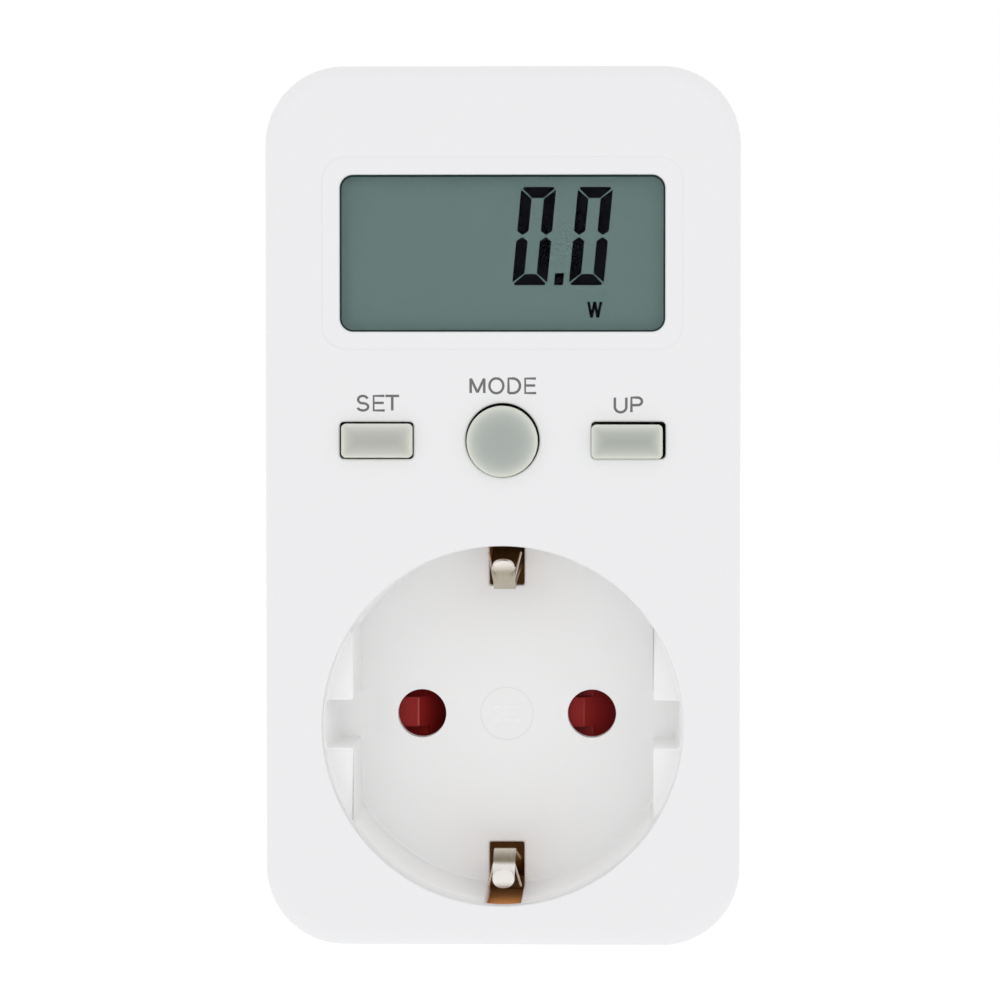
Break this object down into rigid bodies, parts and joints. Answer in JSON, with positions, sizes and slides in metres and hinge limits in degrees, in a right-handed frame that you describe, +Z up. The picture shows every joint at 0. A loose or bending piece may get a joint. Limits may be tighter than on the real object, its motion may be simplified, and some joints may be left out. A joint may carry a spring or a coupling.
{
  "type": "plug-in power meter",
  "caption": "Plug-in power meter for an earthed wall socket: a plug at the back, a socket recess, a display and keys at the front.",
  "frame": {"origin": "centre of the plug's end face, midway between its two pins", "axes": "+X to the right as seen from the front, +Y into the wall along the plug's pins, +Z up"},
  "size_m": [0.0514, 0.077, 0.0952],
  "materials": {
    "cover": "satin white ABS, very fine grain",
    "recess": "satin white ABS",
    "window": "clear moulded window",
    "display": "grey-green liquid-crystal glass on a reflector",
    "holder": "white frame",
    "zebra": "pink conductive strip",
    "foam": "dark foam",
    "circuit_board": "green solder mask",
    "power_board": "pale brown paper laminate",
    "chip": "black epoxy",
    "plated_metal": "plated can",
    "ribbon": "grey flat cable",
    "keypad": "translucent grey silicone",
    "key": "translucent grey silicone",
    "carbon": "carbon-filled rubber",
    "shutter": "dark red plastic",
    "spring_steel": "bright spring wire",
    "carrier": "grey heat-resistant plastic",
    "contact_brass": "bright brass",
    "copper": "bare copper strip",
    "clip_metal": "nickel-plated strip",
    "pin_metal": "nickel-plated brass",
    "capacitor_box": "yellow box",
    "capacitor_sleeve": "dark blue sleeve",
    "varistor_lacquer": "blue lacquer",
    "resistor_lacquer": "green lacquer",
    "battery_sleeve": "green shrink sleeve",
    "shunt_alloy": "resistance alloy strip",
    "brown_wire": "brown insulation",
    "blue_wire": "blue insulation",
    "label": "blank silver label",
    "screw_steel": "zinc-plated steel"
  },
  "bodies": {
    "housing": {"front_cover": "cover", "rear_cover": "cover", "socket_insert": "recess", "lcd_window": "window", "lcd_glass": "display", "lcd_holder": "holder", "zebra_strip": "zebra", "foam_strip": "foam", "display_board": "circuit_board", "controller_chip": "chip", "quartz_crystal": "plated_metal", "board_link": "ribbon", "keypad_mat": "keypad", "set_web": "keypad", "mode_web": "keypad", "up_web": "keypad", "shutter_spring": "spring_steel", "contact_carrier": "carrier", "line_contact": "contact_brass", "neutral_contact": "contact_brass", "earth_bracket": "copper", "line_pin": "pin_metal", "neutral_pin": "pin_metal", "pin_holder": "carrier", "plug_earth_top": "clip_metal", "plug_earth_bottom": "clip_metal", "main_board": "power_board", "x2_capacitor": "capacitor_box", "smoothing_capacitor": "capacitor_sleeve", "varistor": "varistor_lacquer", "fuse_resistor": "resistor_lacquer", "backup_battery": "battery_sleeve", "meter_chip": "chip", "shunt": "shunt_alloy", "rectifier_diodes": "chip", "line_in_lead": "brown_wire", "line_out_lead": "brown_wire", "neutral_in_lead": "blue_wire", "neutral_out_lead": "blue_wire", "rating_label": "label", "housing_screws": "screw_steel", "display_screws": "screw_steel", "insert_screws": "screw_steel", "carrier_screws": "screw_steel", "main_board_screws": "screw_steel", "holder_screw": "screw_steel"},
    "set_button": {"set_key": "key", "set_pill": "carbon"},
    "mode_button": {"mode_key": "key", "mode_pill": "carbon"},
    "up_button": {"up_key": "key", "up_pill": "carbon"},
    "shutter_slider": {"shutter": "shutter"},
    "top_earth_clip": {"earth_clip_top": "clip_metal"},
    "bottom_earth_clip": {"earth_clip_bottom": "clip_metal"}
  },
  "joints": [
    {"name": "set_press", "type": "slide", "parent": "housing", "child": "set_button", "axis": [0, 1, 0], "range_m": [0, 0.001], "stiffness_N_per_m": 1500, "springref_m": -0.0002, "deforming": ["set_web"]},
    {"name": "mode_press", "type": "slide", "parent": "housing", "child": "mode_button", "axis": [0, 1, 0], "range_m": [0, 0.001], "stiffness_N_per_m": 1500, "springref_m": -0.0002, "deforming": ["mode_web"]},
    {"name": "up_press", "type": "slide", "parent": "housing", "child": "up_button", "axis": [0, 1, 0], "range_m": [0, 0.001], "stiffness_N_per_m": 1500, "springref_m": -0.0002, "deforming": ["up_web"]},
    {"name": "shutter_slide", "type": "slide", "parent": "housing", "child": "shutter_slider", "axis": [-1, 0, 0], "range_m": [0, 0.0058], "stiffness_N_per_m": 120, "springref_m": -0.004, "deforming": ["shutter_spring"]},
    {"name": "top_clip_flex", "type": "hinge", "parent": "housing", "child": "top_earth_clip", "pos_m": [0, -0.0298, 0.0209], "axis": [-1, 0, 0], "range_deg": [0, 5.5], "stiffness_Nm_per_rad": 1.5, "springref_deg": -1.72},
    {"name": "bottom_clip_flex", "type": "hinge", "parent": "housing", "child": "bottom_earth_clip", "pos_m": [0, -0.0298, -0.0209], "axis": [1, 0, 0], "range_deg": [0, 5.5], "stiffness_Nm_per_rad": 1.5, "springref_deg": -1.72}
  ]
}
